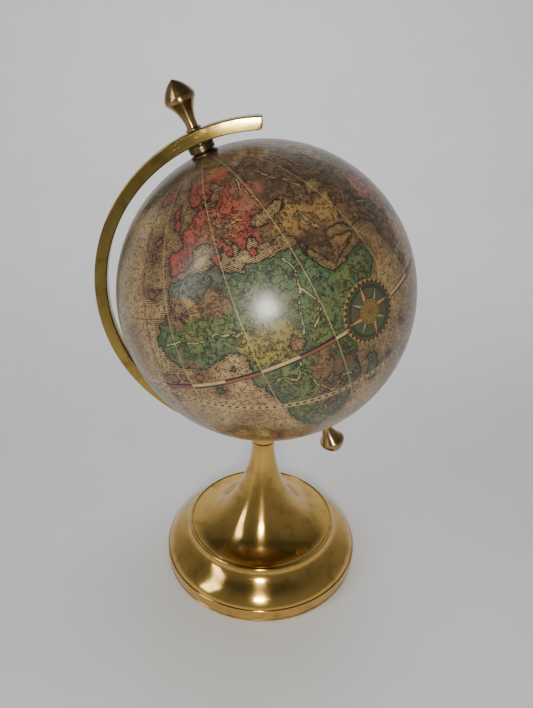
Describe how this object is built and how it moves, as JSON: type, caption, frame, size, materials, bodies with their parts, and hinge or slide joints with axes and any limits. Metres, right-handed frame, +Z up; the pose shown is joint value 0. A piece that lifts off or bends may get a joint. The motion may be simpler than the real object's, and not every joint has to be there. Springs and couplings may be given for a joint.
{
  "type": "desk globe",
  "caption": "Antique-map desk globe that spins on a tilted axis in a C-shaped brass arm, on a trumpet stem and stepped round brass foot.",
  "frame": {"origin": "on the stem's axis, on the surface the globe stands on", "axes": "+Z up along the stem; the arm lies in the XZ plane, bowed towards -X; the upper end of the polar axis leans towards -X"},
  "size_m": [0.1719, 0.16, 0.2948],
  "materials": {
    "polished_brass": "polished and lacquered, mirror-like",
    "satin_brass": "brushed brass with fine scratches, a little greener",
    "bronze": "turned and polished, rosier than the arm",
    "steel": "plain turned steel",
    "ballast_iron": "rough casting, painted",
    "printed_map": "printed paper gores under glossy varnish",
    "fibreboard": "pressed fibreboard",
    "plug_wood": "turned beech",
    "baize": "green baize"
  },
  "bodies": {
    "stand": {"felt_pad": "baize", "bottom_cover": "fibreboard", "foot_shell": "polished_brass", "ballast_disc": "ballast_iron", "tie_rod": "steel", "tie_nut": "steel", "tie_washer": "steel", "stem_trumpet": "polished_brass", "arm_saddle": "polished_brass", "meridian_arm": "satin_brass", "axle_rod": "steel", "upper_finial": "bronze", "lower_finial": "bronze", "upper_spacer": "satin_brass", "lower_spacer": "satin_brass"},
    "ball": {"north_pole_cap": "satin_brass", "south_pole_cap": "satin_brass", "north_hemisphere": "printed_map", "south_hemisphere": "printed_map", "north_pole_bush": "plug_wood", "south_pole_bush": "plug_wood", "seam_band": "fibreboard"}
  },
  "joints": [
    {"name": "ball_spin", "type": "hinge", "parent": "stand", "child": "ball", "pos_m": [0, 0, 0.188], "axis": [-0.3987, 0, 0.9171], "continuous": true}
  ]
}
